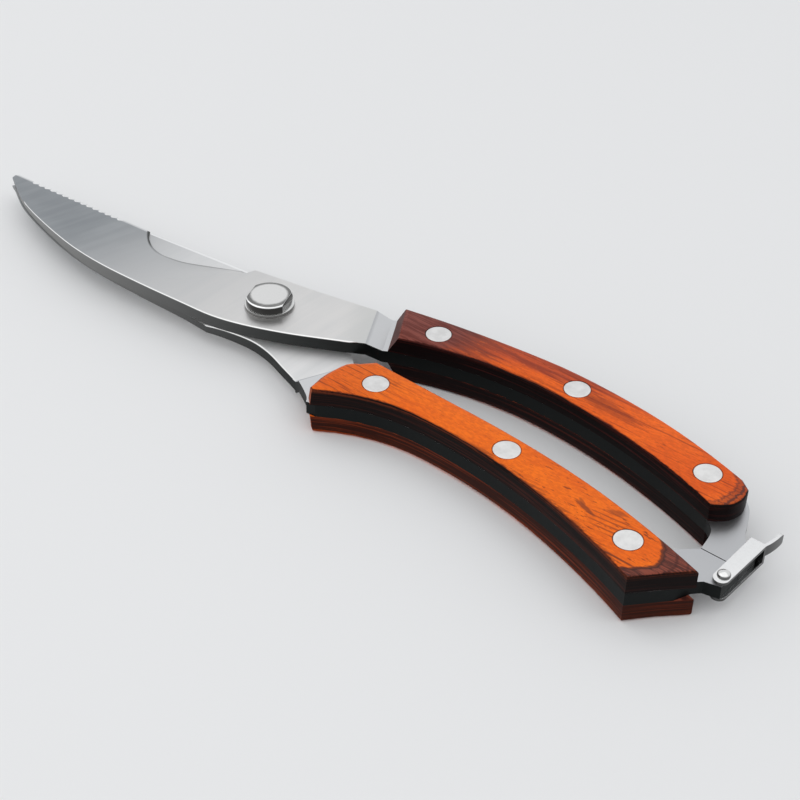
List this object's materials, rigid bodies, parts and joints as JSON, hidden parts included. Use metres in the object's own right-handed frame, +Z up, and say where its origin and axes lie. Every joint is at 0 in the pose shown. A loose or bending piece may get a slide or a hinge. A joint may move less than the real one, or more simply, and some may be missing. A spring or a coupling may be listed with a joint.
{
  "type": "poultry_shears",
  "caption": "Poultry shears, shut and latched: two curved steel blades with a bone notch and scalloped edge, riveted wooden grips and a swinging tail latch",
  "frame": {"origin": "on the pivot axis, at the plane the shears rest on (flat end of the cap nut)", "axes": "+X from the pivot to the handles along the closed shears, +Y to the far handle, +Z up through the upper blade"},
  "size_m": [0.254, 0.0528, 0.0137],
  "materials": {
    "blade_steel": "satin ground stainless",
    "polished_steel": "polished stainless",
    "rivet_steel": "fine satin",
    "spring_steel": "drawn wire",
    "latch_steel": "bright sheet",
    "orange_wood": "lacquered, dark brown at the sides",
    "red_wood": "lacquered, dark brown at the sides"
  },
  "bodies": {
    "lower_half": {"lower_blade": "blade_steel", "near_top_scale": "orange_wood", "near_bottom_scale": "orange_wood", "near_front_rivet_post": "rivet_steel", "near_front_rivet_barrel": "rivet_steel", "near_middle_rivet_post": "rivet_steel", "near_middle_rivet_barrel": "rivet_steel", "near_rear_rivet_post": "rivet_steel", "near_rear_rivet_barrel": "rivet_steel", "pivot_bolt": "polished_steel", "top_washer": "polished_steel", "bottom_washer": "polished_steel", "cap_nut": "polished_steel", "opening_spring": "spring_steel", "latch_rivet": "polished_steel"},
    "upper_half": {"upper_blade": "blade_steel", "far_top_scale": "red_wood", "far_bottom_scale": "red_wood", "far_front_rivet_post": "rivet_steel", "far_front_rivet_barrel": "rivet_steel", "far_middle_rivet_post": "rivet_steel", "far_middle_rivet_barrel": "rivet_steel", "far_rear_rivet_post": "rivet_steel", "far_rear_rivet_barrel": "rivet_steel"},
    "latch": {"latch_clip": "latch_steel"}
  },
  "joints": [
    {"name": "blade_pivot", "type": "hinge", "parent": "lower_half", "child": "upper_half", "pos_m": [0, 0, 0.0066], "axis": [0, 0, 1], "range_deg": [0, 48]},
    {"name": "latch_swing", "type": "hinge", "parent": "lower_half", "child": "latch", "pos_m": [0.1424, -0.0093, 0.00665], "axis": [0, 0, -1], "range_deg": [0, 110]}
  ]
}
